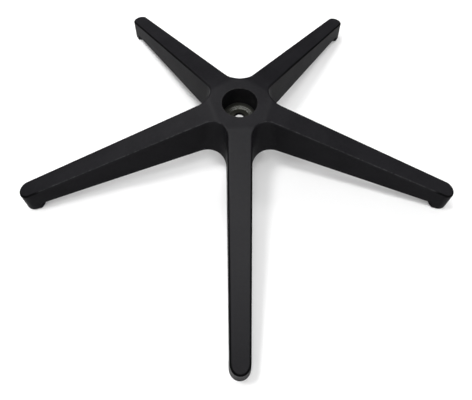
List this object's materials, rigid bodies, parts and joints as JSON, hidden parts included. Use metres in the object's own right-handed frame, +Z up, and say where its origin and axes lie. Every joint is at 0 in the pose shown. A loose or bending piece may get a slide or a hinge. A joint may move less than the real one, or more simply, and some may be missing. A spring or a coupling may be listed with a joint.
{
  "type": "office chair base",
  "caption": "Star-shaped office chair base cast in one piece, with tapering arms on cast feet, a hollow ribbed underside and a column socket with a turned seat and a bolt hole.",
  "frame": {"origin": "centre of the column socket's mouth, on the column axis; the feet stand 114.5 mm below it", "axes": "+Z up along the column axis, out of the socket; one arm points along -Y"},
  "size_m": [0.6098, 0.5813, 0.1145],
  "materials": {
    "black_coat": "matt fine-textured powder coat"
  },
  "bodies": {
    "root": {"star_base": "black_coat"}
  },
  "joints": []
}
